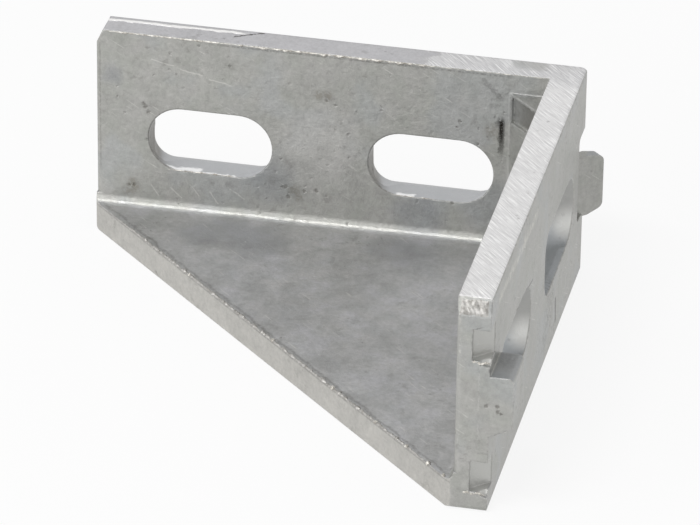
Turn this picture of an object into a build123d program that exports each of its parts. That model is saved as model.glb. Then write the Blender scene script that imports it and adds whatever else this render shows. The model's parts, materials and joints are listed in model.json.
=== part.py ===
"""Die-cast aluminium corner bracket for slotted framing with 8 mm grooves and M8 screws.

Two equal flanges meet at a right angle, and a triangular web closes their lower side. The outer die
half is pulled off along the diagonal, away from the corner, so all that it shapes opens that way.
"""
from build123d import *
import os
from math import radians, sqrt, tan

# Flanges and web
leg_length = 58.3  # outer corner to the free end of either flange
height = 26.3  # linished top face above the underside
wall = 3.85  # thickness of both flanges
web_thickness = 3.5  # at the web's long free edge
web_draft = 0.8  # degrees, the web's upper side rises towards the corner
web_reach = 0.3  # its long edge stands this far outside the flanges' inner corners

# Screw slots, in a row along each flange
slot_width = 8.2  # passes an M8 screw
slot_length = 15.0
slot_height = 12.8  # centre line above the underside
first_slot = 17.7  # outer corner to the first centre
slot_pitch = 26.6
slot_count = 2
slot_land = 0.7  # straight lip at the inner face, before the end wall slants
mouth_flare = 0.2  # the mouth on the outer face is this much wider all round
mouth_radius = 2.7  # the mouth's corners are squarer than the slot's ends
mouth_depth = 3.1
mouth_taper = 14.0  # degrees

# Locating lug at the free end, a loose fit in the groove
lug_height = 2.7
lug_length = 5.7
lug_bottom = 9.6
lug_top = 17.2
lug_flank = 1.45  # the lower flank rises this much from root to tip
lug_rounding = 0.6
lug_chin = 0.5  # radius of the lower outer edge

# Raised pad that the parting line leaves on the end face
pad_bottom = 7.5
pad_top = 18.4
pad_width = 1.2
pad_step = 0.12

# Notches above and below the lug
notch_floors = (2.4, 18.9)
notch_height = 3.9
notch_depth = 2.05  # into the end face, from the outer face
notch_shallow = 0.9  # along the flange, at the notch's inner wall
torn_radius = 1.3  # broken corner of each floor
torn_drop = 0.6

# Relief and fin on the outer corner
relief_size = 4.5  # cut back along each outer face
relief_bottom = 8.0
relief_top = 18.95
relief_sill = 2.4  # radius of the rounded lower edge
relief_brow = 0.9  # radius of the rounded upper edge
relief_root = 0.6  # radius of the inside edges
fin_thickness = 1.35
fin_reach = 1.55  # past each outer face
fin_bottom = 7.2
fin_top = 15.05
fin_slope = 0.6  # both flanks close in by this much towards the tip
fin_rounding = 0.9

# Ejector block in the inner corner
block_size = 4.6
block_top = 23.8
pocket_floor = 20.1  # shallow pocket in the block's face
pocket_margin = 0.3
pocket_depth = 0.4
pocket_rounding = 0.6

# Edges
web_fillet = 1.1
block_fillet = 0.5
corner_rounding = 1.0
top_rounding = 0.2  # outer edges of the top
foot_rounding = 0.35
end_rounding = 0.7
toe_rounding = 0.6  # lower corner of the free end
end_cut_height = 1.95
end_cut_length = 0.9

# The origin lies on the underside's level, below the middle of the bracket's bounding box.
corner = (leg_length - lug_height) / 2  # place of the outer corner along both X and Y
inner_end = leg_length - pad_step  # free end of the flange proper
outside = leg_length / 4  # length by which cutters pass the metal
skin = 0.1  # cutters that end on a face pass it by this much
relief_depth = -relief_size / sqrt(2)
web_edge = -(inner_end + wall) / sqrt(2) - web_reach  # the web's long edge, along the diagonal
web_tip = wall + web_reach * sqrt(2)  # outer face to the tip of the web at a free end
web_corner = 3 * web_reach  # radius of that tip


def level(z):
    """Plan plane at height z whose origin is on the outer corner."""
    return Plane(origin=(corner, corner, z))


def place(x, y, z):
    """Point given from the outer corner."""
    return Vector(corner + x, corner + y, z)


def edge_at(builder, x, y, z):
    """Edge that passes closest to a point given from the outer corner."""
    return builder.edges().sort_by_distance(place(x, y, z))[0]


def edge_pair(builder, x, y, z):
    """The edge at a point and the one on the other flange."""
    return [edge_at(builder, x, y, z), edge_at(builder, y, x, z)]


def web_top(x, y):
    """Height of the web's upper side over a plan point."""
    return web_thickness + ((x + y) / sqrt(2) - web_edge) * tan(radians(web_draft))


# X runs from the corner to the free end, Y is up, and Z points away from the metal
outer_face = Plane(origin=place(0, 0, 0), x_dir=(-1, 0, 0), z_dir=(0, 1, 0))
# X runs from the outer to the inner face, Y is up, and Z points away from the metal
end_face = Plane(origin=place(-leg_length, 0, 0), x_dir=(0, -1, 0), z_dir=(-1, 0, 0))
# X runs outwards through the corner and Y is up
diagonal = Plane(origin=place(0, 0, 0), x_dir=(1, 1, 0), z_dir=(1, -1, 0))

middle = -leg_length / 2
block_middle = -wall - block_size / 2
# X runs across the block's face and Y is up
block_face = Plane(origin=place(block_middle, block_middle, 0), x_dir=(1, -1, 0), z_dir=(-1, -1, 0))
slot_centres = [(first_slot + n * slot_pitch, slot_height) for n in range(slot_count)]

# Web: its wedge-shaped section on the diagonal, trimmed in plan to the space between the flanges
with BuildPart() as web:
    with BuildSketch(diagonal):
        with BuildLine():
            Polyline(
                (web_edge, 0),
                (0, 0),
                (0, web_top(0, 0)),
                (web_edge, web_thickness),
                close=True,
            )
        make_face()
    extrude(amount=leg_length, both=True)
    with BuildSketch(level(0)):
        with BuildLine():
            Polyline(
                (-wall, -wall),
                (-inner_end, -wall),
                (-inner_end, -web_tip),
                (-web_tip, -inner_end),
                (-wall, -inner_end),
                close=True,
            )
        make_face()
        for x, y in ((-inner_end, -web_tip), (-web_tip, -inner_end)):
            fillet(vertices().sort_by_distance((x, y))[0], web_corner)
    extrude(amount=height, mode=Mode.INTERSECT)

# Lug with the pad that carries it
with BuildPart() as lug:
    with BuildSketch(end_face):
        with BuildLine():
            Polyline(
                (pad_width, lug_bottom),
                (0, lug_bottom),
                (-lug_height, lug_bottom + lug_flank),
                (-lug_height, lug_top),
                (pad_width, lug_top),
                close=True,
            )
        make_face()
    extrude(amount=-lug_length)
    fillet(edge_at(lug, -leg_length + lug_length / 2, lug_height, lug_top), lug_rounding)
    fillet(edge_at(lug, -leg_length + lug_length / 2, lug_height, lug_bottom + lug_flank), lug_chin)
    with BuildSketch(end_face):
        with Locations((pad_width / 2, (pad_bottom + pad_top) / 2)):
            Rectangle(pad_width, pad_top - pad_bottom)
    extrude(amount=-lug_length)

# All that is cut through or into one flange
with BuildPart() as openings:
    # Slots: straight at the far end, slanting towards the corner at the near end
    with BuildSketch(outer_face):
        with Locations(*slot_centres):
            SlotOverall(slot_length, slot_width)
    extrude(amount=wall + skin, both=True)
    with BuildSketch(outer_face.offset(slot_land - wall)):
        with Locations(*slot_centres):
            SlotOverall(slot_length, slot_width)
    extrude(amount=wall * sqrt(2), dir=(1, 1, 0))

    # Mouth of each slot on the outer face
    with BuildSketch(outer_face):
        with Locations(*slot_centres):
            RectangleRounded(slot_length + 2 * mouth_flare, slot_width + 2 * mouth_flare, mouth_radius)
    extrude(amount=-mouth_depth, taper=mouth_taper)

    # Notches with their torn floors
    for floor in notch_floors:
        with BuildSketch(level(floor)):
            with BuildLine():
                Polyline(
                    (-leg_length - skin, skin),
                    (notch_shallow + notch_depth - leg_length, skin),
                    (notch_shallow - leg_length, -notch_depth),
                    (-leg_length - skin, -notch_depth),
                    close=True,
                )
            make_face()
        extrude(amount=notch_height)
        with Locations(place(-leg_length, 0, floor + torn_radius - torn_drop)):
            Sphere(torn_radius)

    # Rounded inner edge of the free end, above the web
    with BuildSketch(level(web_thickness + web_fillet)):
        with BuildLine():
            Polyline(
                (end_rounding - inner_end, -wall),
                (end_rounding - inner_end, -wall - skin),
                (-leg_length, -wall - skin),
                (-leg_length, end_rounding - wall),
                (-inner_end, end_rounding - wall),
            )
            TangentArc(
                (-inner_end, end_rounding - wall),
                (end_rounding - inner_end, -wall),
                tangent=(0, -1),
            )
        make_face()
    extrude(amount=height)

    # Rounded lower corner of the free end
    with BuildSketch(outer_face):
        with BuildLine():
            Polyline(
                (inner_end, toe_rounding),
                (leg_length, toe_rounding),
                (leg_length, -skin),
                (inner_end - toe_rounding, -skin),
                (inner_end - toe_rounding, 0),
            )
            TangentArc(
                (inner_end - toe_rounding, 0),
                (inner_end, toe_rounding),
                tangent=(1, 0),
            )
        make_face()
    extrude(amount=web_tip + toe_rounding, both=True)

with BuildPart() as corner_bracket:
    # One flange, mitred at the corner, its free end cut back along the top
    with BuildSketch(level(0)):
        with BuildLine():
            Polyline((0, 0), (-inner_end, 0), (-inner_end, -wall), (-wall, -wall), close=True)
        make_face()
    extrude(amount=height)
    with BuildSketch(outer_face):
        with BuildLine():
            Polyline(
                (inner_end - end_cut_length, height),
                (leg_length, height),
                (leg_length, height - end_cut_height),
                (inner_end, height - end_cut_height),
                close=True,
            )
        make_face()
    extrude(amount=-wall, mode=Mode.SUBTRACT)

    # The other flange and the web
    mirror(about=diagonal)
    add(web.part)

    # Ejector block
    with BuildSketch(level(web_thickness / 2)):
        with BuildLine():
            Polyline(
                (-wall, -wall),
                (-wall - block_size, -wall),
                (-wall, -wall - block_size),
                close=True,
            )
        make_face()
    extrude(amount=block_top - web_thickness / 2)

    # Inside roundings
    fillet(
        [
            *edge_pair(corner_bracket, middle, -wall, web_top(middle, -wall)),
            edge_at(corner_bracket, block_middle, block_middle, web_top(block_middle, block_middle)),
        ],
        web_fillet,
    )
    fillet(edge_pair(corner_bracket, -wall - block_size, -wall, height / 2), block_fillet)

    # Outside roundings
    fillet(edge_at(corner_bracket, 0, 0, height / 2), corner_rounding)
    fillet(edge_pair(corner_bracket, middle, 0, 0), foot_rounding)
    fillet(edge_pair(corner_bracket, middle, 0, height), top_rounding)

    # Pocket with a round head in the block's face
    with BuildSketch(block_face):
        with Locations((0, (pocket_floor + block_top - pocket_margin) / 2)):
            Rectangle(
                block_size * sqrt(2) - 2 * pocket_margin,
                block_top - pocket_margin - pocket_floor,
            )
        fillet(vertices().group_by(Axis.Y)[-1], pocket_rounding)
    extrude(amount=-pocket_depth, mode=Mode.SUBTRACT)

    # Lugs and openings of both flanges
    add(lug.part)
    mirror(lug.part, about=diagonal)
    add(openings.part, mode=Mode.SUBTRACT)
    mirror(openings.part, about=diagonal, mode=Mode.SUBTRACT)

    # Relief across the corner, between a rounded sill and a rounded brow
    with BuildSketch(diagonal):
        with BuildLine():
            Polyline(
                (relief_depth, relief_bottom),
                (skin, relief_bottom),
                (skin, relief_bottom - 2 * relief_sill),
                (outside, relief_bottom - 2 * relief_sill),
                (outside, relief_top + 2 * relief_brow),
                (skin, relief_top + 2 * relief_brow),
                (skin, relief_top),
                (relief_depth, relief_top),
                close=True,
            )
        make_face()
        for x, y, radius in (
            (relief_depth, relief_bottom, relief_root),
            (relief_depth, relief_top, relief_root),
            (skin, relief_bottom, relief_sill),
            (skin, relief_top, relief_brow),
        ):
            fillet(vertices().sort_by_distance((x, y))[0], radius)
    extrude(amount=outside, both=True, mode=Mode.SUBTRACT)

    # Diagonal fin
    with BuildSketch(diagonal):
        with BuildLine():
            Polyline(
                (2 * relief_depth, fin_bottom),
                (0, fin_bottom),
                (fin_reach * sqrt(2), fin_bottom + fin_slope),
                (fin_reach * sqrt(2), fin_top - fin_slope),
                (0, fin_top),
                (2 * relief_depth, fin_top),
                close=True,
            )
        make_face()
        fillet(vertices().group_by(Axis.X)[-1], fin_rounding)
    extrude(amount=fin_thickness / 2, both=True)

os.makedirs("parts", exist_ok=True)
corner_bracket.part.label = "corner_bracket"
export_step(corner_bracket.part, "parts/corner_bracket.step")
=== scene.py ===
"""Looks of a die-cast aluminium corner bracket for slotted framing."""

import json
import math
import random

import bmesh
import bpy
from mathutils import Matrix, Vector, noise


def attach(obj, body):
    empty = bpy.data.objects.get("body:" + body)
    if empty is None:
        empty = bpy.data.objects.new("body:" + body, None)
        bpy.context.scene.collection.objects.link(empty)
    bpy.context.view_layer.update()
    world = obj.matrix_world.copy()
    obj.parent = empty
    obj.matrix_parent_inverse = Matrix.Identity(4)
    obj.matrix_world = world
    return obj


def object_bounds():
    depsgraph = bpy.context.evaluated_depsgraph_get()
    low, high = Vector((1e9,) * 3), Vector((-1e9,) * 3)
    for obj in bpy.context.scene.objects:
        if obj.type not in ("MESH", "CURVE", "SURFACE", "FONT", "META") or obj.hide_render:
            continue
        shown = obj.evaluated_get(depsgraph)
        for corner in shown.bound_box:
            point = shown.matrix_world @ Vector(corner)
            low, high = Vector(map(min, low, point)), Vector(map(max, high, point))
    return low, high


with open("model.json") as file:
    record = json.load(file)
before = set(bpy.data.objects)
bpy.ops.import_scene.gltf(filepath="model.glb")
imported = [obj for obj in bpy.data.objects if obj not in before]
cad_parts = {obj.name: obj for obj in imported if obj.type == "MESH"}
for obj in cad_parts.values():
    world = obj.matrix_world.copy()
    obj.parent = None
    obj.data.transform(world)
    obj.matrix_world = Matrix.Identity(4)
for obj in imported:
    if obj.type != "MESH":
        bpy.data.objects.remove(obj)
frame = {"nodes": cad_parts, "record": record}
cad_low, cad_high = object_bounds()

# Sizes, in millimetres. The back flange runs along -X from the outer corner and the side flange along -Y.
MM = 0.001
mounts = {mount["name"]: mount for mount in frame["record"]["mounts"]}
openings = {opening["name"]: opening["box_m"] for opening in frame["record"]["physics"]["openings"]}
CORNER = mounts["back_flange_slots"]["pos_m"][1] / MM  # place of the outer corner along X and Y
TOP = cad_high.z / MM
LUG = cad_high.x / MM - CORNER  # how far a lug stands out
FREE_END = (cad_high.x - cad_low.x) / MM - LUG  # outer corner to a flange's free end
WALL = 3.85
INNER = -WALL  # place of the back flange's inner face along Y, and of the side flange's along X
WEB_EDGE = 3.5  # the web's thickness at its long edge
WEB_LEVEL = 3.9  # a typical height of its upper side
WEB_TIP = 4.27  # outer face to the web's long edge at a free end
END_CUT = 1.95  # height of the cut across the top of each end
SLOT_WIDTH = 8.2
SLOT_STRAIGHT = 6.8  # the length of a slot's straight sides
NOTCH_RIMS = (2.25, 18.72)  # heights of the torn rims beside an end's two notches
BLOCK_EDGE = INNER - 4.6  # where the corner block ends along X
BLOCK_TOP = 23.8
CHAMFER = -13.3  # x + y on the corner block's slanted face
POCKET_FLOOR = 20.1
LUG_TOP = 17.2


def middle(name, axis):
    """The middle of a named opening along one axis."""
    low, high = openings[name]
    return (low[axis] + high[axis]) / 2 / MM


NEAR_SLOT = middle("back_slot_1", 0) - CORNER  # centres along the back flange, from the outer corner
FAR_SLOT = middle("back_slot_2", 0) - CORNER
BETWEEN = (NEAR_SLOT + FAR_SLOT) / 2
SLOT_HEIGHT = middle("back_slot_1", 2)
SLOT_FLOOR = SLOT_HEIGHT - SLOT_WIDTH / 2


def at(x, y, z):
    """Point given from the outer corner, in the frame's metres."""
    return Vector(((CORNER + x) * MM, (CORNER + y) * MM, z * MM))


def inside(p):
    """A point given from the outer corner, held just inside the CAD's own box."""
    gap = 0.004
    return at(
        min(max(p.x, gap - FREE_END), LUG - gap),
        min(max(p.y, gap - FREE_END), LUG - gap),
        min(max(p.z, gap), TOP - gap),
    )


# ---------------------------------------------------------------- shader helpers


class Shader:
    """Adds nodes to one material's tree. A value may be a number, a tuple or another node's output."""

    def __init__(self, name):
        self.material = bpy.data.materials.new(name)
        self.material.use_nodes = True
        self.tree = self.material.node_tree
        self.tree.nodes.clear()
        self.output = self.add("ShaderNodeOutputMaterial")

    def add(self, kind, **settings):
        """A new node with the given settings."""
        node = self.tree.nodes.new(kind)
        for key, value in settings.items():
            setattr(node, key, value)
        return node

    def put(self, socket, value):
        """Links or sets a socket; None leaves it as it is."""
        if isinstance(value, bpy.types.NodeSocket):
            self.tree.links.new(value, socket)
        elif value is not None:
            socket.default_value = value

    def calc(self, operation, a, b=None, clamp=False):
        """A calculation with one or two numbers."""
        node = self.add("ShaderNodeMath", operation=operation, use_clamp=clamp)
        self.put(node.inputs[0], a)
        self.put(node.inputs[1], b)
        return node.outputs[0]

    def combine(self, operation, a, b):
        """A calculation with two vectors, as its node."""
        node = self.add("ShaderNodeVectorMath", operation=operation)
        self.put(node.inputs[0], a)
        self.put(node.inputs[1], b)
        return node

    def span(self, kind, value, low, high, out_low, out_high):
        node = self.add("ShaderNodeMapRange", interpolation_type=kind, clamp=True)
        for socket, v in zip(node.inputs, (value, low, high, out_low, out_high)):
            self.put(socket, v)
        return node.outputs[0]

    def step(self, value, low, high, out_low=0.0, out_high=1.0):
        """Smooth step of value from low to high."""
        return self.span("SMOOTHSTEP", value, low, high, out_low, out_high)

    def ramp(self, value, low, high, out_low=0.0, out_high=1.0):
        """Straight ramp of value from low to high."""
        return self.span("LINEAR", value, low, high, out_low, out_high)

    def band(self, value, low, high, soft):
        """1 between low and high, with soft sides."""
        up = self.step(value, low - soft, low + soft)
        down = self.step(value, high + soft, high - soft)
        return self.calc("MULTIPLY", up, down)

    def near(self, value, place, reach, core=0.0):
        """1 where value is within core of a place, fading out at reach."""
        return self.step(self.size(self.plus(value, -place)), reach, core)

    def chain(self, operation, values):
        """The same calculation over several values, one after another."""
        result = values[0]
        for value in values[1:]:
            result = self.calc(operation, result, value)
        return result

    def times(self, *values):
        return self.chain("MULTIPLY", values)

    def plus(self, *values):
        return self.chain("ADD", values)

    def most(self, *values):
        return self.chain("MAXIMUM", values)

    def size(self, value):
        return self.calc("ABSOLUTE", value)

    def invert(self, value):
        return self.calc("SUBTRACT", 1.0, value)

    def noise_node(self, vector, scale, detail, roughness):
        node = self.add("ShaderNodeTexNoise")
        self.put(node.inputs["Vector"], vector)
        for name, value in (("Scale", scale), ("Detail", detail), ("Roughness", roughness)):
            self.put(node.inputs[name], value)
        return node

    def noise(self, vector, scale, detail=2.0, roughness=0.5):
        return self.noise_node(vector, scale, detail, roughness).outputs["Fac"]

    def half(self, value):
        """A noise stretched to run from 0 to 1."""
        return self.ramp(value, 0.3, 0.7)

    def swing(self, value, amount):
        """A noise made into a change of up to amount either way."""
        return self.ramp(value, 0.3, 0.7, -amount, amount)

    def cells(self, vector, scale):
        node = self.add("ShaderNodeTexVoronoi", feature="F1")
        self.put(node.inputs["Vector"], vector)
        self.put(node.inputs["Scale"], scale)
        return node.outputs["Distance"], node.outputs["Color"]

    def vector(self, x, y, z):
        node = self.add("ShaderNodeCombineXYZ")
        for socket, value in zip(node.inputs, (x, y, z)):
            self.put(socket, value)
        return node.outputs[0]

    def parts(self, vector):
        """A vector's three numbers."""
        node = self.add("ShaderNodeSeparateXYZ")
        self.put(node.inputs[0], vector)
        return node.outputs[0], node.outputs[1], node.outputs[2]

    def shaken(self, vector, scale, amount):
        """The place, moved a little by noise, so that a shape laid on it has a ragged outline."""
        shift = self.noise_node(vector, scale, 3.0, 0.5)
        push = self.add("ShaderNodeVectorMath", operation="MULTIPLY_ADD")
        self.put(push.inputs[0], shift.outputs["Color"])
        self.put(push.inputs[1], [amount] * 3)
        self.put(push.inputs[2], [-amount / 2] * 3)
        return self.combine("ADD", vector, push.outputs[0]).outputs[0]

    def spot(self, vector, point, radius, soft):
        """1 within radius of a point, fading over the soft distance."""
        return self.step(self.combine("DISTANCE", vector, point).outputs["Value"], radius + soft, radius)

    def spots(self, vector, marks):
        """The most of several spots, each a point, a radius and a soft distance."""
        result = 0.0  # each spot is joined as it is made, because Cycles can hold few open values
        for mark in marks:
            result = self.calc("MAXIMUM", result, self.spot(vector, *mark))
        return result

    def stroke(self, vector, start, end, width):
        """1 on the line from start to end, fading to its width."""
        run = Vector(end) - Vector(start)
        offset = self.combine("SUBTRACT", vector, Vector(start)).outputs[0]
        share = self.combine("DOT_PRODUCT", offset, run / run.length_squared).outputs["Value"]
        foot = self.add("ShaderNodeVectorMath", operation="SCALE")
        self.put(foot.inputs[0], run)
        self.put(foot.inputs["Scale"], self.calc("ADD", share, 0.0, clamp=True))
        gap = self.combine("DISTANCE", offset, foot.outputs[0]).outputs["Value"]
        return self.step(gap, width, 0.3 * width)

    def strokes(self, vector, lines):
        """The most of several strokes, each a start, an end and a width."""
        result = 0.0
        for line in lines:
            result = self.calc("MAXIMUM", result, self.stroke(vector, *line))
        return result

    def mix(self, factor, a, b):
        node = self.add("ShaderNodeMix", data_type="RGBA")
        self.put(node.inputs["Factor"], factor)
        for socket, colour in zip(node.inputs[6:8], (a, b)):
            self.put(socket, colour if isinstance(colour, bpy.types.NodeSocket) else (*colour, 1.0))
        return node.outputs[2]

    def metal(self, colour, roughness, normal, metallic):
        node = self.add("ShaderNodeBsdfPrincipled")
        self.put(node.inputs["Base Color"], colour)
        self.put(node.inputs["Roughness"], roughness)
        self.put(node.inputs["Metallic"], metallic)
        self.put(node.inputs["Normal"], normal)
        self.tree.links.new(node.outputs[0], self.output.inputs["Surface"])


class CastSkin(Shader):
    """The bracket's own shader: places in millimetres from the outer corner, and what its layers share."""

    def __init__(self, name):
        super().__init__(name)
        coords = self.add("ShaderNodeTexCoord")
        scaled = self.add("ShaderNodeVectorMath", operation="MULTIPLY_ADD")
        self.put(scaled.inputs[0], coords.outputs["Object"])
        self.put(scaled.inputs[1], (1 / MM, 1 / MM, 1 / MM))
        self.put(scaled.inputs[2], (-CORNER, -CORNER, 0.0))
        self.place = scaled.outputs[0]
        self.x, self.y, self.z = self.parts(self.place)
        self.nx, self.ny, self.nz = self.parts(coords.outputs["Normal"])
        self.find_surfaces()
        self.add_mottling()

    def find_surfaces(self):
        """Where each kind of surface lies."""
        upward = self.step(self.nz, 0.75, 0.95)
        lean = self.plus(self.nx, self.ny)
        self.top = self.times(upward, self.step(self.z, TOP - 0.35, TOP - 0.15))
        self.web = self.times(upward, self.step(self.z, 7.0, 6.0))
        self.slanted = self.times(self.step(lean, -1.15, -1.3), self.step(self.z, 4.2, 3.8))
        self.chamfer = self.times(
            self.step(lean, -1.2, -1.35),
            self.step(self.plus(self.x, self.y), CHAMFER - 0.1, CHAMFER + 0.1),
        )
        slots_start = BLOCK_EDGE - 2.6  # along X, no slot comes nearer to the corner
        self.slot_wall = self.times(
            self.step(self.y, INNER + 0.05, INNER + 0.15),
            self.step(self.x, slots_start + 0.05, slots_start - 0.15),
            self.step(self.y, -0.05, -0.15),
        )

    def add_mottling(self):
        """Noises of the cast skin at several sizes."""
        self.wide = self.noise(self.place, 0.13, 2.0, 0.5)
        self.blotch = self.noise(self.place, 0.5, 3.0, 0.62)
        self.mottle = self.noise(self.place, 1.9, 3.0, 0.7)
        self.grain = self.noise(self.place, 7.0, 2.0, 0.75)
        self.broken = self.noise(self.place, 2.6, 4.0, 0.75)
        self.tint = self.half(self.noise(self.shaken(self.place, 0.6, 1.5), 0.35, 3.0, 0.6))
        self.ragged = self.shaken(self.place, 3.5, 0.5)
        self.wavering = self.shaken(self.place, 0.9, 0.35)


def scattered(seed, count, centre, spread, core=(0.05, 0.12), soft=(0.19, 0.36)):
    """Marks strewn by chance around a centre, each a point, a radius and a soft distance."""
    draw = random.Random(seed)
    marks = []
    for _ in range(count):
        shift = Vector([draw.uniform(-reach, reach) for reach in spread])
        marks.append((Vector(centre) + shift, draw.uniform(*core), draw.uniform(*soft)))
    return marks


# ---------------------------------------------------------------- layers of the cast skin


def pits(s):
    """Small ragged pits, scattered and clustered, with the dull skin around them and bright dust."""
    place, colour = s.cells(s.ragged, 1.1)
    pick, breadth, _ = s.parts(colour)
    cluster = s.step(s.noise(s.place, 0.17, 2.0, 0.5), 0.48, 0.62)
    pit = s.times(
        s.step(place, s.ramp(breadth, 0.0, 1.0, 0.16, 0.34), 0.05),
        s.step(pick, 0.62, 0.7),
        s.plus(0.2, s.times(0.6, cluster)),
    )
    dull = s.times(s.step(s.noise(s.ragged, 0.75, 3.0, 0.6), 0.56, 0.68), cluster)
    dust = s.times(s.step(place, 0.12, 0.05), s.step(breadth, 0.86, 0.88))
    return pit, dull, dust


def fine_scratches(s):
    """Faint straight scratches that run aslant over the cast faces."""
    across = s.plus(s.times(s.x, 0.5), s.times(s.y, 0.5), s.times(s.z, 0.85))
    along = s.plus(s.times(s.x, 0.85), s.times(s.z, -0.5))
    lines = s.noise(s.vector(s.times(across, 6.0), s.times(along, 0.3), 3.1), 1.0, 1.0, 0.5)
    patches = s.step(s.noise(s.place, 0.3, 1.0), 0.5, 0.58)
    return s.times(s.step(lines, 0.68, 0.73), patches, s.invert(s.top))


def scored_lines(s):
    """Scratches under the far slot, and a broken one above it."""
    draw = random.Random(4)
    lines = []
    for i in range(5):
        start = Vector((FAR_SLOT - 7.2 + 2.4 * i, INNER, SLOT_FLOOR - 2.1 + draw.uniform(-0.4, 0.6)))
        run = Vector((draw.uniform(0.8, 2.0), 0, draw.uniform(-1.6, -1.1)))
        lines.append((start, start + run, draw.uniform(0.1, 0.12)))
    for i in range(3):
        start = Vector((FAR_SLOT - 7.1 + 3.5 * i, INNER, TOP - 3.2 - 0.9 * i))
        lines.append((start, start + Vector((2.6, 0, -0.55)), 0.12))
    return s.strokes(s.wavering, lines)


def belt_lines(s):
    """Straight fine lines of the linishing belt, all one way."""
    across = s.plus(s.times(s.x, 0.76), s.times(s.y, 0.65))
    along = s.times(s.plus(s.times(s.x, 0.65), s.times(s.y, -0.76)), 0.3)
    drifting = s.plus(across, s.times(s.noise(s.place, 0.1, 1.0), 0.4))
    fine = s.noise(s.vector(s.times(drifting, 11.0), along, 0.0), 1.0, 2.0, 0.6)
    bold = s.noise(s.vector(s.times(drifting, 7.5), along, 5.0), 1.0, 1.0, 0.5)
    return s.plus(
        s.times(s.ramp(fine, 0.35, 0.65), 0.55),
        s.times(s.step(bold, 0.58, 0.64), 0.5),
        s.times(s.step(bold, 0.42, 0.36), -0.4),
    )


def top_faults(s):
    """On the tops: the part that the belt missed, a low patch, a bright ridge and a crack."""
    ragged_x = s.plus(s.x, s.times(s.half(s.blotch), 3.0))
    beyond = s.step(ragged_x, NEAR_SLOT + 1.1, NEAR_SLOT - 0.1)
    missed = s.times(beyond, s.step(s.y, INNER - 0.1, INNER + 0.15))
    low_patch = s.stroke(s.shaken(s.place, 0.8, 1.2), (-7.6, -1.0, TOP), (-5.6, -1.0, TOP), 1.7)
    line = s.size(s.plus(s.y, 0.75, s.times(s.half(s.blotch), 0.35)))
    ridge = s.times(s.top, s.step(s.x, FAR_SLOT + 4.3, FAR_SLOT + 2.8), s.step(line, 0.42, 0.14))
    start = (FAR_SLOT + 2.5, -1.9, TOP)
    crack = s.stroke(s.shaken(s.place, 1.5, 0.7), start, (FAR_SLOT + 5.7, -0.3, TOP), 0.2)
    return missed, low_patch, ridge, s.times(crack, s.top)


def block_stain(s):
    """The black casting stain that hangs down beside the corner block."""
    edge = s.plus(s.x, s.times(s.half(s.broken), 0.5))
    run = s.times(
        s.band(edge, BLOCK_EDGE - 0.95, BLOCK_EDGE - 0.35, 0.25),
        s.band(s.z, POCKET_FLOOR - 4.7, POCKET_FLOOR + 0.2, 0.6),
        s.step(s.z, POCKET_FLOOR - 5.6, POCKET_FLOOR - 0.9, 0.35, 1.0),
    )
    blot = s.spot(s.ragged, (BLOCK_EDGE - 1.2, INNER, POCKET_FLOOR - 0.5), 0.1, 0.6)
    start = (BLOCK_EDGE - 3.1, INNER, TOP - 1.3)
    trail = s.stroke(s.ragged, start, (BLOCK_EDGE - 1.0, INNER, BLOCK_TOP - 0.9), 0.5)
    return s.times(
        s.most(run, s.times(blot, 0.6), s.times(trail, 0.25)),
        s.step(s.size(s.plus(s.y, WALL)), 0.7, 0.1),
        s.step(s.broken, 0.35, 0.52),
    )


def pocket_shadow(s):
    """The dark inside of the pocket in the corner block."""
    ragged_z = s.plus(s.z, s.times(s.half(s.mottle), 0.5))
    depth = s.step(s.x, -9.5, -5.5, 0.2, 0.62)
    return s.times(s.chamfer, s.band(ragged_z, POCKET_FLOOR + 0.4, BLOCK_TOP - 0.3, 0.3), depth)


def dark_marks(s):
    """Small dark marks: near the far end and the slots, on the end face and on the side's outer face."""
    flat, end, side = (1.0, 0.0, 1.0), (1.6, 0.0, 1.6), (0.0, 16.0, 7.0)  # how far each group spreads
    marks = [
        *scattered(1, 2, (4.8 - FREE_END, INNER, 5.6), flat),
        *scattered(2, 3, (FAR_SLOT - 8.2, INNER, SLOT_HEIGHT + 4.5), (0.8, 0.0, 1.4)),
        *scattered(3, 5, (BETWEEN - 2.6, INNER, SLOT_FLOOR - 1.5), (2.2, 0.0, 1.3)),
        *scattered(4, 2, (NEAR_SLOT + 3.6, INNER, SLOT_HEIGHT + 6.0), flat),
        ((NEAR_SLOT + 2.7, INNER, SLOT_FLOOR - 0.2), 0.12, 0.24),
        *scattered(6, 4, (0.4, -FREE_END, SLOT_HEIGHT), end),
        *scattered(7, 5, (0.0, -28.0, 9.5), side, (0.1, 0.2), (0.3, 0.6)),
    ]
    return s.spots(s.ragged, marks)


def dark_strokes(s):
    """Dark lines: two on the web near the far slot, two on the side's outer face, two on the end face."""
    lines = []
    for i in range(2):
        start = Vector((FAR_SLOT - 2.6 - 3.4 * i, -9.0 + 1.4 * i, WEB_LEVEL))
        lines.append((start, start + Vector((3.4, 0.2, 0.0)), 0.25))
    under_slot = (0.0, NEAR_SLOT, SLOT_FLOOR - 3.7)
    lines.append((under_slot, (0.0, NEAR_SLOT + 0.3, 2.1), 0.5))
    lines.append(((0.0, FAR_SLOT + 10.9, 16.0), (0.0, FAR_SLOT + 1.3, 17.2), 0.14))
    lines.append(((-2.0, -FREE_END, 22.8), (-0.3, -FREE_END, 23.4), 0.14))
    lines.append(((-3.6, -FREE_END, 6.5), (-1.8, -FREE_END, 6.5), 0.1))
    return s.strokes(s.wavering, lines)


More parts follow.
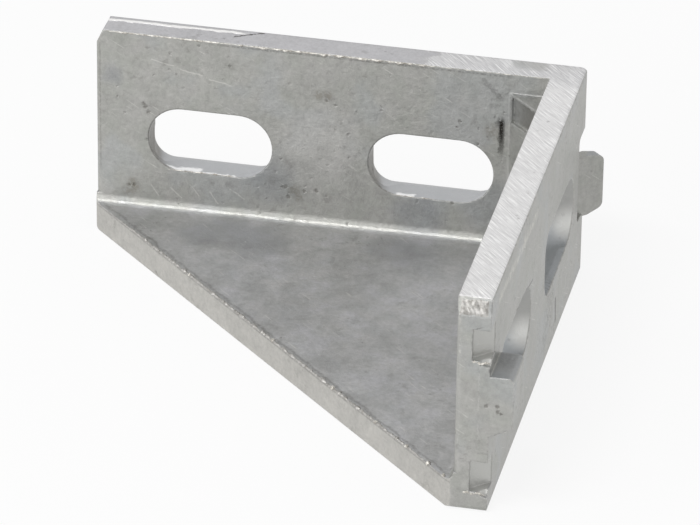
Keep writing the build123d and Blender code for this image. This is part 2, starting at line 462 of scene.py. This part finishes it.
def brown_smears(s):
    """Brown smears at the foot of the far end, between the slots and beside the corner block."""
    core, soft = (0.1, 0.3), (0.5, 1.2)
    marks = [
        *scattered(11, 3, (4.6 - FREE_END, INNER, 5.9), (0.7, 0.0, 0.7), core, soft),
        *scattered(12, 3, (BETWEEN - 2.7, INNER, SLOT_FLOOR - 1.3), (1.2, 0.0, 0.7), core, soft),
        *scattered(14, 2, (BETWEEN + 2.6, INNER, POCKET_FLOOR + 0.6), (3.6, 0.0, 0.3), core, soft),
        ((BLOCK_EDGE - 2.1, INNER, POCKET_FLOOR - 1.5), 0.3, 1.3),
    ]
    return s.times(s.spots(s.ragged, marks), s.step(s.mottle, 0.36, 0.56))


def grey_smudges(s):
    """Soft grey smudges on the web along the back flange."""
    marks = scattered(21, 6, (BETWEEN + 1.0, -9.0, WEB_LEVEL), (14.0, 1.5, 0.0), (0.8, 2.0), (2.0, 4.0))
    return s.times(s.spots(s.shaken(s.place, 0.5, 3.0), marks), s.plus(0.5, s.times(0.5, s.half(s.mottle))))


def pale_rubs(s):
    """Pale rubs under the side's top edge and on the end face."""
    rubs = (
        ((0.0, 5.0 - FREE_END, TOP - 2.0), (0.0, 27.0 - FREE_END, TOP - 2.9), 0.85),
        ((INNER + 0.3, -FREE_END, TOP - 2.5), (INNER + 0.3, -FREE_END, TOP - 6.8), 0.35),
    )
    patches = s.step(s.noise(s.place, 1.3, 3.0, 0.7), 0.4, 0.6)
    return s.times(s.strokes(s.shaken(s.place, 0.8, 0.8), rubs), patches)


def cool_patches(s):
    """Bluish patches beside the slots and by the far end."""
    marks = [((2.1 - FREE_END, INNER, POCKET_FLOOR + 0.3), 0.3, 1.8)]
    for slot in (NEAR_SLOT, FAR_SLOT):
        marks.append(((slot + 7.4, INNER, SLOT_FLOOR + 0.4), 1.2, 3.6))
    marks.append(((NEAR_SLOT - 1.3, INNER, SLOT_FLOOR - 2.1), 1.5, 3.0))
    return s.times(s.spots(s.shaken(s.place, 0.5, 2.0), marks), 0.42)


def slot_insides(s):
    """Painted light on the slot floors, painted shade on their end walls, and painted glints on the floors
    by the burr.
    """
    floor_level = SLOT_FLOOR + 0.1
    lit_floor = s.times(s.slot_wall, s.step(s.nz, 0.55, 0.8), s.band(s.z, 7.9, 10.5, 0.3))
    shaded_wall = s.times(s.slot_wall, s.step(s.nx, 0.3, 0.7), s.band(s.z, 9.2, 18.5, 0.8))
    glints = (
        ((FAR_SLOT - 5.1, -3.6, floor_level), (FAR_SLOT - 3.3, -3.3, floor_level), 0.45),
        ((FAR_SLOT - 3.3, -3.2, floor_level), (FAR_SLOT - 1.6, -3.2, floor_level), 0.75),
        ((FAR_SLOT - 1.3, -3.7, floor_level), (FAR_SLOT + 2.9, -3.7, floor_level), 0.4),
        ((NEAR_SLOT - 3.9, -3.5, floor_level), (NEAR_SLOT - 2.2, -3.3, floor_level), 0.5),
    )
    glint = s.times(lit_floor, s.strokes(s.shaken(s.place, 1.6, 0.7), glints))
    return lit_floor, shaded_wall, glint


def slot_rims(s):
    """A broken dark line round each slot on the inner face, strongest on the slot's far side."""
    rims = 0.0
    for slot in (NEAR_SLOT, FAR_SLOT):
        along = s.plus(s.x, -slot)
        reach = s.calc("MAXIMUM", s.plus(s.size(along), -SLOT_STRAIGHT / 2), 0.0)
        rise = s.plus(s.z, -SLOT_HEIGHT)
        distance = s.calc("SQRT", s.plus(s.times(reach, reach), s.times(rise, rise)))
        line = s.near(distance, SLOT_WIDTH / 2, 0.2, 0.04)
        rims = s.calc("MAXIMUM", rims, s.times(line, s.step(along, -3.0, -6.0, 0.25, 1.0)))
    return s.times(rims, s.near(s.y, INNER, 0.25, 0.05), s.step(s.broken, 0.36, 0.5))


def edge_lines(s):
    """Painted shade: thin dark lines beside the burrs along the web's edge and under the top flash, and
    down the inner face by the far end's rounded edge.
    """
    below = s.times(s.slanted, s.band(s.z, WEB_EDGE - 0.3, WEB_EDGE - 0.1, 0.12))
    from_edge = s.plus(s.x, s.y, FREE_END + WEB_TIP, s.times(s.half(s.blotch), 0.6))
    above = s.times(s.web, s.near(from_edge, 1.3, 0.4, 0.1), 0.8)
    along_web = s.times(s.most(below, above), s.step(s.broken, 0.3, 0.55))
    far_end = s.times(
        s.band(s.x, 0.55 - FREE_END, 0.72 - FREE_END, 0.12),
        s.band(s.z, 8.0, 24.5, 1.0),
        s.step(s.y, INNER + 0.25, INNER + 0.15),
        s.step(s.broken, 0.35, 0.55),
    )
    under_flash = s.times(
        s.band(s.z, TOP - 0.5, TOP - 0.3, 0.12),
        s.band(s.x, FAR_SLOT, -9.0, 2.0),
        s.step(s.broken, 0.38, 0.55),
        s.near(s.y, INNER, 0.2, 0.1),
    )
    return s.most(along_web, far_end), under_flash


def paint_hollow_light(s):
    """Painted light on the walls of the slots and notches in the side flange, and its tone: bluish low
    down, brighter in two spots and near the end.
    """
    walls = s.times(
        s.band(s.x, INNER + 0.15, -0.12, 0.04),
        s.band(s.y, 0.4 - FREE_END, -4.3, 0.1),
        s.band(s.z, 0.3, TOP - 2.3, 0.1),
    )
    lit = s.spots(s.place, [((-1.0, slot + 9.75, 9.2), 1.0, 2.4) for slot in (NEAR_SLOT, FAR_SLOT)])
    tone = s.mix(s.step(s.z, 9.8, 11.2), (0.38, 0.40, 0.42), (0.37, 0.37, 0.36))
    tone = s.mix(lit, tone, (0.70, 0.70, 0.68))
    tone = s.mix(s.step(s.y, 9.3 - FREE_END, 6.3 - FREE_END), tone, (0.53, 0.53, 0.51))
    return s.times(walls, 0.8), tone


def rough_patches(s):
    """Rough dark skin on the side's outer face below the near slot."""
    marks = (((0.0, NEAR_SLOT - 3.8, 6.3), 1.6, 2.4), ((0.0, NEAR_SLOT - 6.8, 3.6), 0.8, 1.8))
    streaks = s.noise(s.vector(s.x, s.times(s.y, 2.4), s.z), 1.2, 3.0, 0.75)
    return s.times(s.spots(s.place, marks), s.step(streaks, 0.5, 0.58))


def rounded_edges(s):
    """The normal of slightly rounded edges, rounder along the outer top ones, and where they are worn,
    painted lighter as wear and as a painted highlight.
    """
    bevel = s.add("ShaderNodeBevel", samples=4)
    outer = s.most(
        s.step(s.x, -1.4, -1.1), s.step(s.y, -1.4, -1.1), s.step(s.y, 1.9 - FREE_END, 1.6 - FREE_END)
    )
    upper = s.step(s.z, TOP - 1.4, TOP - 1.1)
    s.put(bevel.inputs["Radius"], s.plus(0.26 * MM, s.times(outer, upper, 0.38 * MM)))
    flat = s.add("ShaderNodeNewGeometry")
    bend = s.combine("DOT_PRODUCT", bevel.outputs[0], flat.outputs["True Normal"]).outputs["Value"]
    patches = s.step(s.noise(s.place, 1.4, 3.0, 0.75), 0.4, 0.6)
    return bevel.outputs[0], s.times(s.step(bend, 0.99, 0.9), patches, s.invert(s.top))


# ---------------------------------------------------------------- colour and relief of the cast skin


def face_colour(s):
    """The upright cast faces, warmer and cooler by turns."""
    colour = s.mix(s.tint, (0.365, 0.37, 0.345), (0.40, 0.395, 0.38))
    colour = s.mix(s.times(s.step(s.wide, 0.52, 0.64), 0.5), colour, (0.36, 0.372, 0.375))
    colour = s.mix(cool_patches(s), colour, (0.25, 0.265, 0.285))
    clean = s.spot(s.place, (BETWEEN, INNER, SLOT_HEIGHT + 0.7), 2.0, 5.0)
    return s.mix(s.times(clean, 0.7), colour, (0.47, 0.465, 0.45))


def web_colour(s, dust):
    """The web's upper side, clouded, smudged and dusted."""
    cloud = s.noise(s.place, 0.22, 3.0, 0.65)
    colour = s.mix(s.tint, (0.40, 0.403, 0.407), (0.465, 0.462, 0.46))
    colour = s.mix(s.step(cloud, 0.5, 0.64, 0.0, 0.6), colour, (0.49, 0.49, 0.51))
    colour = s.mix(s.step(cloud, 0.5, 0.36, 0.0, 0.5), colour, (0.33, 0.33, 0.325))
    colour = s.mix(s.times(grey_smudges(s), 0.42), colour, (0.2, 0.205, 0.215))
    return s.mix(s.times(dust, 0.5), colour, (0.75, 0.75, 0.73))


def top_colour(s, lines):
    """The linished tops, brighter along the side flange."""
    strength = s.ramp(lines, 0.0, 0.9)
    back = s.mix(strength, (0.53, 0.528, 0.535), (0.86, 0.855, 0.855))
    side = s.mix(strength, (0.66, 0.655, 0.655), (0.98, 0.975, 0.97))
    return s.mix(s.step(s.y, -3.0, -7.0), back, side)


def mottled(s, colour, linished):
    """The colour made lighter and darker by the skin's own mottling, less where it is linished."""
    change = s.plus(
        s.swing(s.wide, 0.05), s.swing(s.blotch, 0.07), s.swing(s.mottle, 0.09), s.swing(s.grain, 0.06)
    )
    node = s.add("ShaderNodeHueSaturation")
    s.put(node.inputs["Value"], s.plus(1.0, s.times(change, s.invert(s.times(linished, 0.7)))))
    s.put(node.inputs["Color"], colour)
    return node.outputs[0]


def relief(s, linished, lines, dents, ridge):
    """Height of the skin in millimetres."""
    skin = s.plus(
        s.times(s.ramp(s.blotch, 0.2, 0.8), 0.05),
        s.times(s.ramp(s.mottle, 0.2, 0.8), 0.03),
        s.times(s.ramp(s.grain, 0.2, 0.8), 0.008),
    )
    skin = s.times(skin, s.invert(s.times(linished, 0.85)))
    height = s.plus(skin, s.times(linished, lines, 0.014), s.times(ridge, 0.12))
    for dent, depth in dents:
        height = s.plus(height, s.times(dent, -depth))
    return height


def bumped(s, height, normal):
    """The normal, tilted by a height in millimetres."""
    bump = s.add("ShaderNodeBump")
    s.put(bump.inputs["Strength"], 1.0)
    s.put(bump.inputs["Distance"], MM)
    s.put(bump.inputs["Height"], height)
    s.put(bump.inputs["Normal"], normal)
    return bump.outputs[0]


def cast_aluminium():
    """As-cast aluminium with linished tops, stains, pits and scratches."""
    s = CastSkin("cast_aluminium")
    pit, dull, dust = pits(s)
    lines = belt_lines(s)
    missed, low_patch, ridge, crack = top_faults(s)
    linished = s.times(s.top, s.invert(s.times(missed, 0.85)), s.invert(s.times(low_patch, 0.6)))
    marks, strokes, stain = dark_marks(s), dark_strokes(s), block_stain(s)
    pocket = pocket_shadow(s)
    lit_floor, shaded_wall, glint = slot_insides(s)
    burr_shade_lines, flash_line_shade = edge_lines(s)
    hollow_light_mask, hollow_light_tone = paint_hollow_light(s)
    # painted shade: the lug's upward faces are darkened and tinted blue
    lug_top_shade = s.times(s.step(s.x, 0.1, 0.25), s.step(s.nz, 0.4, 0.7))
    # painted shade: a dark spot in the corner at the lug's root
    lug_root_shade = s.spot(s.ragged, (0.5, -FREE_END, LUG_TOP + 0.7), 0.35, 0.4)
    edge_normal, edge_wear_and_highlight = rounded_edges(s)

    colour = s.mix(s.web, face_colour(s), web_colour(s, dust))
    colour = s.mix(s.slanted, colour, (0.455, 0.445, 0.42))
    colour = s.mix(linished, colour, top_colour(s, lines))
    colour = s.mix(s.times(s.top, missed, 0.85), colour, (0.53, 0.525, 0.545))
    colour = s.mix(s.times(pale_rubs(s), 0.6), colour, (0.62, 0.61, 0.56))
    colour = mottled(s, colour, linished)
    layers = (
        (s.times(dull, 0.3, s.invert(linished)), (0.16, 0.155, 0.14)),
        (s.times(pit, 0.38), (0.12, 0.115, 0.105)),
        (s.times(s.most(fine_scratches(s), scored_lines(s)), 0.45), (0.66, 0.65, 0.62)),
        (s.times(marks, 0.4), (0.09, 0.082, 0.065)),
        (s.times(brown_smears(s), 0.4), (0.13, 0.11, 0.075)),
        (s.times(strokes, 0.7), (0.05, 0.047, 0.042)),
        (pocket, (0.085, 0.08, 0.07)),
        # painted light on the slot floors
        (s.times(lit_floor, 0.8), (0.53, 0.54, 0.56)),
        # painted shade on the slots' end walls
        (s.times(shaded_wall, 0.6), (0.17, 0.16, 0.145)),
        # painted light in the side flange's slots and notches
        (hollow_light_mask, hollow_light_tone),
        # painted shade on the lug's upward faces
        (s.times(lug_top_shade, 0.5), (0.31, 0.325, 0.35)),
        # wear and a painted highlight along the rounded edges
        (s.times(edge_wear_and_highlight, 0.4), (0.85, 0.84, 0.82)),
        # rough dark skin, and painted shade under the top flash
        (s.times(s.most(rough_patches(s), flash_line_shade), 0.5), (0.09, 0.085, 0.08)),
        # painted shade in the corner at the lug's root
        (s.times(lug_root_shade, 0.8), (0.05, 0.048, 0.045)),
        # painted glints on the slot floors
        (glint, (0.98, 0.98, 0.98)),
        # painted shade beside the burrs and by the far end, and dark rims round the slots
        (s.times(s.most(burr_shade_lines, slot_rims(s)), 0.5), (0.13, 0.125, 0.115)),
        (ridge, (0.95, 0.94, 0.93)),
        (crack, (0.07, 0.065, 0.06)),
        (stain, (0.012, 0.009, 0.006)),
    )
    for factor, tone in layers:
        colour = s.mix(factor, colour, tone)

    dents = (
        (pit, 0.06),
        (s.most(marks, strokes), 0.05),
        (crack, 0.15),
        (s.times(low_patch, s.top), 0.1),
        (stain, 0.1),
    )
    height = relief(s, linished, lines, dents, ridge)
    fillet = s.times(s.band(s.nz, 0.25, 0.92, 0.1), s.step(s.z, 5.4, 5.0))
    roughness = s.plus(
        0.44,
        s.times(fillet, -0.08),
        s.swing(s.blotch, 0.06),
        s.times(linished, -0.09),
        s.times(pit, 0.2),
        s.times(s.most(stain, pocket, marks), 0.35),
    )
    s.metal(colour, roughness, bumped(s, height, edge_normal), 0.7)
    return s.material


def torn_metal(name, dull, bright):
    """Flash, burrs and broken metal, mottled from a dull to a bright tone."""
    s = Shader(name)
    speck = s.noise(s.add("ShaderNodeTexCoord").outputs["Object"], 1900.0, 3.0, 0.7)
    colour = s.mix(s.step(speck, 0.35, 0.65), dull, bright)
    bump = s.add("ShaderNodeBump")
    s.put(bump.inputs["Strength"], 0.4)
    s.put(bump.inputs["Distance"], 0.04 * MM)
    s.put(bump.inputs["Height"], speck)
    s.metal(colour, s.step(speck, 0.3, 0.7, 0.55, 0.42), bump.outputs[0], 0.6)
    return s.material


cast = cast_aluminium()
flash_metal = torn_metal("cast_flash", (0.34, 0.32, 0.285), (0.76, 0.74, 0.69))
broken_metal = torn_metal("cast_broken", (0.3, 0.29, 0.27), (0.52, 0.51, 0.49))
for node in frame["nodes"].values():
    node.data.materials.clear()
    node.data.materials.append(cast)


# ---------------------------------------------------------------- casting flash and torn metal


def mesh_piece(name, points, faces, material):
    """A smooth mesh piece that rides on the bracket."""
    mesh = bpy.data.meshes.new(name)
    mesh.from_pydata(points, [], faces)
    mesh.update()
    for polygon in mesh.polygons:
        polygon.use_smooth = True
    mesh.materials.append(material)
    piece = bpy.data.objects.new(name, mesh)
    bpy.context.scene.collection.objects.link(piece)
    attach(piece, "root")
    return piece


def bead_size(along, radius, seed, ragged):
    """A bead's radius some way along it."""
    long_wave = noise.noise(Vector((along * 1.1, seed, 0)))
    short_wave = noise.noise(Vector((along * 3.7, seed, 7)))
    return max(0.12, 0.55 + ragged * (long_wave + 0.6 * short_wave)) * radius


def flash_line(name, start, end, radius, seed, ragged=0.8, metal=flash_metal):
    """A ragged bead of flash from start to end, in millimetres from the outer corner."""
    spacing, sides = 0.16, 7
    start, run = Vector(start), Vector(end) - Vector(start)
    count = max(8, int(run.length / spacing))
    side = run.cross(Vector((0, 0, 1))).normalized()
    rise = side.cross(run).normalized()
    points, faces = [], []
    for i in range(count + 1):
        share = i / count
        along = share * run.length
        reach = bead_size(along, radius, seed, ragged) * min(1, 8 * share, 8 * (1 - share))
        for j in range(sides):
            angle = 2 * math.pi * j / sides
            rough = 1 + 0.35 * noise.noise(Vector((along * 5.0, j * 1.7, seed)))
            offset = side * math.cos(angle) + rise * math.sin(angle)
            points.append(inside(start + run * share + offset * reach * rough))
    for i in range(count):
        for j in range(sides):
            k = (j + 1) % sides
            a, b = i * sides, (i + 1) * sides
            faces.append((a + j, a + k, b + k, b + j))
    faces.append(tuple(reversed(range(sides))))
    faces.append(tuple(range(count * sides, (count + 1) * sides)))
    return mesh_piece(name, points, faces, metal)


def torn_patch(name, corners, counts, relief_height, seed):
    """A broken surface over four corners, in millimetres from the outer corner, sunk at its rim."""
    a, b, c, d = (Vector(p) for p in corners)
    outward = (b - a).cross(d - a).normalized()
    columns, rows = counts
    points, faces = [], []
    for i in range(columns + 1):
        for j in range(rows + 1):
            u, v = i / columns, j / rows
            p = (a * (1 - u) + b * u) * (1 - v) + (d * (1 - u) + c * u) * v
            rim_share = min(1.0, 9 * min(u, 1 - u), 5 * min(v, 1 - v))
            coarse = noise.noise(Vector((u * 3.0 + seed, v * 1.6, seed)))
            streak = noise.noise(Vector((u * 11.0 + v * 3.5, seed, v * 0.9)))
            crumb = noise.noise(Vector((u * 24.0 + v * 6.0, v * 9.0, seed)))
            rise = relief_height * (0.4 + 0.8 * coarse + 0.55 * streak + 0.12 * crumb)
            points.append(inside(p + outward * (rise * rim_share - 0.06 * (1 - rim_share))))
    for i in range(columns):
        for j in range(rows):
            k = i * (rows + 1) + j
            faces.append((k, k + rows + 1, k + rows + 2, k + 1))
    return mesh_piece(name, points, faces, broken_metal)


def crumbs(name, places, seed):
    """Small torn lumps, each a centre in millimetres from the outer corner and a radius."""
    points, faces = [], []
    for index, (centre, radius) in enumerate(places):
        ball = bmesh.new()
        bmesh.ops.create_icosphere(ball, subdivisions=3, radius=1.0)
        first = len(points)
        for vertex in ball.verts:
            n = vertex.co.normalized()
            dent = 1 + 0.45 * noise.noise(n * 1.6 + Vector((seed, index * 3.1, 0)))
            dent += 0.22 * noise.noise(n * 4.5 + Vector((index, seed, 2)))
            points.append(inside(Vector(centre) + n * radius * dent))
        faces.extend(tuple(first + v.index for v in face.verts) for face in ball.faces)
        ball.free()
    return mesh_piece(name, points, faces, flash_metal)


def add_flash():
    """Beads along the top edges, the inner edge of the side flange's end, and the slots' lower rims."""

    def along_back(name, start, end, level, radius, seed, ragged):
        flash_line(name, (start, INNER, level), (end, INNER, level), radius, seed, ragged)

    rim, floor_level = TOP - 0.12, SLOT_FLOOR + 0.05
    along_back("flash_back_top_1", 1.2 - FREE_END, FAR_SLOT + 2.8, rim, 0.16, 1, 0.8)
    along_back("flash_back_top_2", FAR_SLOT + 2.3, NEAR_SLOT + 0.7, rim, 0.23, 2, 1.3)
    along_back("flash_back_top_3", NEAR_SLOT + 0.2, INNER, rim, 0.05, 5, 1.1)
    along_back("flash_slot_1", FAR_SLOT - 5.3, FAR_SLOT + 3.1, floor_level, 0.1, 7, 1.2)
    along_back("flash_slot_2", NEAR_SLOT - 4.7, NEAR_SLOT + 0.7, floor_level, 0.07, 8, 1.2)
    flash_line("flash_side_top", (INNER, 1.4 - FREE_END, rim), (INNER, INNER, rim), 0.05, 3)
    end_x, end_y = INNER + 0.2, 0.33 - FREE_END
    flash_line("flash_end_edge", (end_x, end_y, TOP - 2.1), (end_x, end_y, 4.8), 0.13, 6, 1.1)


def add_web_burr():
    """A broken burr along the web's long edge, with lumps that crowd towards the side flange."""
    edge_sum = FREE_END + WEB_TIP - 0.2
    level = WEB_EDGE + 0.03
    start = (2.6 - FREE_END, FREE_END - 2.6 - edge_sum, level)
    end = (FREE_END - 1.6 - edge_sum, 1.6 - FREE_END, level)
    flash_line("flash_web_edge", start, end, 0.25, 4, 1.2, broken_metal)
    lumps = []
    for i in range(7):
        along = 43.0 * 0.7**i
        lumps.append(((-along, along - edge_sum, WEB_EDGE + 0.05), 0.2 + 0.03 * (i % 3)))
    crumbs("torn_web_edge", lumps, 4)


def add_torn_end():
    """The broken top of the side flange's end, and the torn rims of its two notches."""
    inner, outer = INNER + 0.25, -0.3
    low, high = TOP - END_CUT + 0.1, TOP - 0.05
    near, deep = 0.12 - FREE_END, 1.0 - FREE_END
    corners = ((inner, near, low), (outer, near, low), (outer, deep, high), (inner, deep, high))
    torn_patch("torn_top_end", corners, (70, 36), 0.14, 3)
    draw = random.Random(5)
    lumps = []
    for rim, first, count in zip(NOTCH_RIMS, (-2.6, -1.95), (12, 10)):
        for i in range(count):
            x = first + 0.2 * i + draw.uniform(-0.05, 0.05)
            lumps.append(((x, 0.16 - FREE_END, rim + 0.1 * math.sin(i)), draw.uniform(0.07, 0.16)))
    crumbs("torn_notch_rims", lumps, 2)


add_flash()
add_web_burr()
add_torn_end()

# ---------------------------------------------------------------- floor, light, camera


def any_ray(s, *kinds):
    """1 for rays of any of the given kinds."""
    path = s.add("ShaderNodeLightPath")
    return s.most(*(path.outputs[kind] for kind in kinds))


def blended(s, factor, first, second, output):
    """Sends a blend of two shaders to an output."""
    blend = s.add("ShaderNodeMixShader")
    for socket, value in zip(blend.inputs, (factor, first, second)):
        s.put(socket, value)
    s.put(output.inputs["Surface"], blend.outputs[0])


def add_floor():
    """A plain pale floor that keeps the shadow."""
    s = Shader("floor")
    paper = s.add("ShaderNodeBsdfDiffuse")
    s.put(paper.inputs["Color"], (0.86, 0.86, 0.86, 1.0))
    glow = s.add("ShaderNodeEmission")
    s.put(glow.inputs["Color"], (1.0, 1.0, 1.0, 1.0))
    seen = any_ray(s, "Is Camera Ray", "Is Glossy Ray", "Is Transmission Ray")
    blended(s, s.times(seen, 0.86), paper.outputs[0], glow.outputs[0], s.output)
    half = 4.0
    corners = ((-half, -half, 0), (half, -half, 0), (half, half, 0), (-half, half, 0))
    mesh = bpy.data.meshes.new("floor")
    mesh.from_pydata(corners, [], [(0, 1, 2, 3)])
    mesh.materials.append(s.material)
    floor = bpy.data.objects.new("floor", mesh)
    bpy.context.scene.collection.objects.link(floor)
    floor.location.z = -0.05 * MM


class WorldShader(Shader):
    """The same helpers for the world's tree."""

    def __init__(self, name):  # a world in place of a material
        world = bpy.data.worlds.new(name)
        world.use_nodes = True
        bpy.context.scene.world = world
        self.tree = world.node_tree
        self.tree.nodes.clear()
        self.output = self.add("ShaderNodeOutputWorld")


def add_world():
    """Even light all round; a white background for the camera, and half of that in reflections."""
    s = WorldShader("studio")
    ambient = s.add("ShaderNodeBackground")
    s.put(ambient.inputs["Color"], (1.0, 1.0, 1.0, 1.0))
    s.put(ambient.inputs["Strength"], 0.58)
    white = s.add("ShaderNodeBackground")
    s.put(white.inputs["Color"], (1.0, 1.0, 1.0, 1.0))
    seen = any_ray(s, "Is Camera Ray", "Is Transmission Ray")
    mirrored = s.times(any_ray(s, "Is Glossy Ray"), 0.5)
    blended(s, s.most(seen, mirrored), ambient.outputs[0], white.outputs[0], s.output)


def softbox(name, direction, distance, width, depth, power):
    """A rectangular lamp that looks at the bracket from a direction."""
    data = bpy.data.lights.new(name, "AREA")
    data.shape = "RECTANGLE"
    data.size = width
    data.size_y = depth
    data.energy = power
    lamp = bpy.data.objects.new(name, data)
    bpy.context.scene.collection.objects.link(lamp)
    target = Vector((0, 0, 0.012))
    lamp.location = target + Vector(direction).normalized() * distance
    lamp.rotation_euler = (target - lamp.location).to_track_quat("-Z", "Y").to_euler()


def add_camera(azimuth, elevation, roll, aim, distance, lens):
    """A camera seen from the aim point at an azimuth from -Y towards +X, in degrees and millimetres."""
    turn, rise, tilt = math.radians(azimuth), math.radians(elevation), math.radians(roll)
    back = Vector((math.sin(turn) * math.cos(rise), -math.cos(turn) * math.cos(rise), math.sin(rise)))
    level = Vector((math.cos(turn), math.sin(turn), 0.0))
    right = level * math.cos(tilt) + back.cross(level) * math.sin(tilt)
    axes = Matrix((right, back.cross(right), back)).transposed().to_4x4()
    data = bpy.data.cameras.new("camera")
    data.sensor_width = 36.0
    data.lens = lens
    data.clip_end = 20.0
    camera = bpy.data.objects.new("camera", data)
    bpy.context.scene.collection.objects.link(camera)
    camera.matrix_world = Matrix.Translation(at(*aim) + back * distance * MM) @ axes
    bpy.context.scene.camera = camera


add_floor()
add_world()
softbox("front", (-0.95, -1.0, 0.3), 0.9, 0.9, 0.6, 4.3)
softbox("overhead", (-0.18, -0.42, 0.89), 0.8, 0.4, 0.1, 2.1)
softbox("side", (1.0, 0.1, 0.3), 0.9, 0.5, 0.5, 0.55)
softbox("behind", (-0.25, 0.86, 0.48), 0.9, 0.7, 0.3, 0.14)
# The camera's values come from a fit to the photograph's straight edges and slots.
add_camera(11.951, 28.613, 0.815, aim=(-22.37, -26.7, 11.74), distance=670.0, lens=301.7)
bpy.context.scene.view_settings.view_transform = "Standard"
